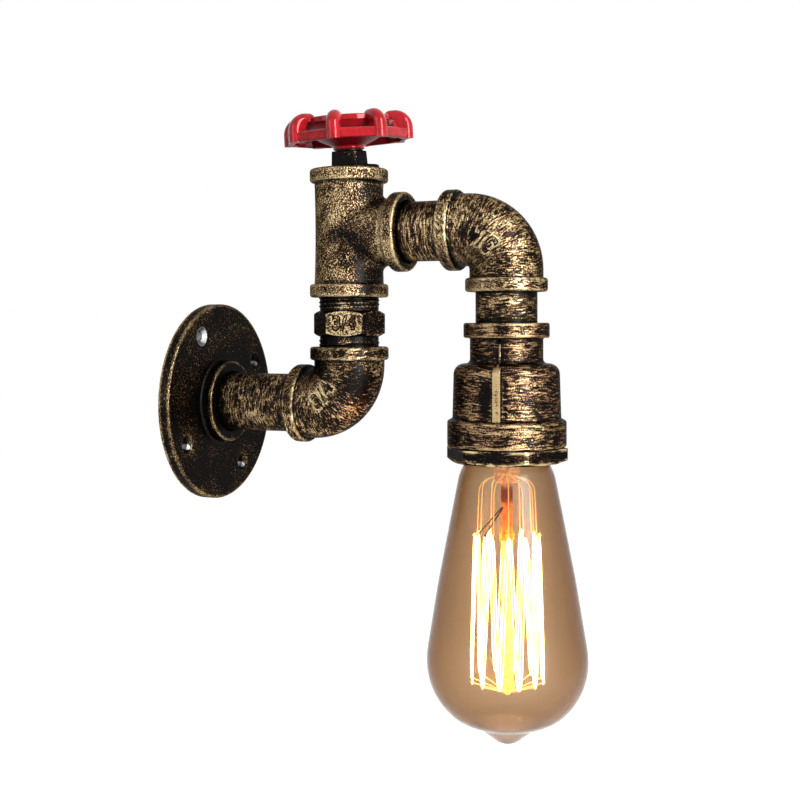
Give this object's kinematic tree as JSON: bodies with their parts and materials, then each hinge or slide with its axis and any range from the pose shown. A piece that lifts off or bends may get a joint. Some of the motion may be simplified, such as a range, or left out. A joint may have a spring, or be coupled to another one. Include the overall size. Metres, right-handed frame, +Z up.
{
  "type": "pipe wall light",
  "caption": "Wall light of bronzed pipe fittings: round flange, elbows, tee with a red handwheel, and a lamp cup with a lit amber filament bulb.",
  "frame": {"origin": "centre of the flange's back face, on the wall, on the axis of the arm that leaves the flange", "axes": "+Z up along the riser and the lamp's axis; +Y into the wall, out of the flange's back; the arm runs towards -Y; +X completes a right-handed frame"},
  "size_m": [0.09, 0.1792, 0.2725],
  "materials": {
    "cast_bronze": "antique bronze brushed over near-black, satin",
    "pipe_bronze": "antique bronze brushed over near-black, satin",
    "black_iron": "black, satin",
    "red_enamel": "glossy",
    "zinc_steel": "plated, satin",
    "brass": "plain, satin",
    "ceramic": "glazed ceramic",
    "block_plastic": "matte",
    "brown_insulation": "matte",
    "blue_insulation": "matte",
    "black_glass": "glossy",
    "solder": "dull",
    "amber_glass": "clear, amber tint",
    "clear_glass": "clear",
    "fine_wire": "dark",
    "glowing_filament": "lit, white-orange"
  },
  "bodies": {
    "frame": {"wall_flange": "cast_bronze", "lower_elbow": "cast_bronze", "tee": "cast_bronze", "upper_elbow": "cast_bronze", "reducing_socket": "cast_bronze", "holder_ring": "cast_bronze", "wall_nipple": "pipe_bronze", "hex_nipple": "cast_bronze", "branch_nipple": "pipe_bronze", "drop_nipple": "pipe_bronze", "spindle_plug": "black_iron", "earth_screw": "zinc_steel", "lampholder_body": "ceramic", "screw_shell": "brass", "centre_contact": "brass", "live_pillar": "brass", "neutral_pillar": "brass", "pillar_screws": "zinc_steel", "live_lead": "brown_insulation", "neutral_lead": "blue_insulation", "terminal_block": "block_plastic", "terminal_inserts": "brass", "terminal_screws": "zinc_steel"},
    "wheel": {"handwheel": "red_enamel", "spindle": "zinc_steel", "retaining_clip": "zinc_steel", "thrust_washer": "zinc_steel", "wheel_washer": "zinc_steel", "wheel_nut": "zinc_steel"},
    "tip": {"tip_contact": "solder"},
    "bulb": {"bulb_cap": "brass", "cap_insulator": "black_glass", "bulb_glass": "amber_glass", "bulb_stem": "clear_glass", "filament_supports": "fine_wire", "filament": "glowing_filament", "lead_in_wires": "fine_wire"}
  },
  "joints": [
    {"name": "handwheel_turn", "type": "hinge", "parent": "frame", "child": "wheel", "pos_m": [0, -0.071, 0.1134], "axis": [-0.0675, 0.0296, 0.9973], "continuous": true},
    {"name": "bulb_draw", "type": "slide", "parent": "frame", "child": "tip", "axis": [0, 0, -1], "range_m": [0, 0.01815]},
    {"name": "bulb_turn", "type": "hinge", "parent": "tip", "child": "bulb", "pos_m": [0, -0.145, 0], "axis": [0, 0, -1], "range_deg": [0, 1800]}
  ],
  "couplings": [
    {"joint": "bulb_draw", "follows": "bulb_turn", "m_per_rad": 0.00057757}
  ]
}
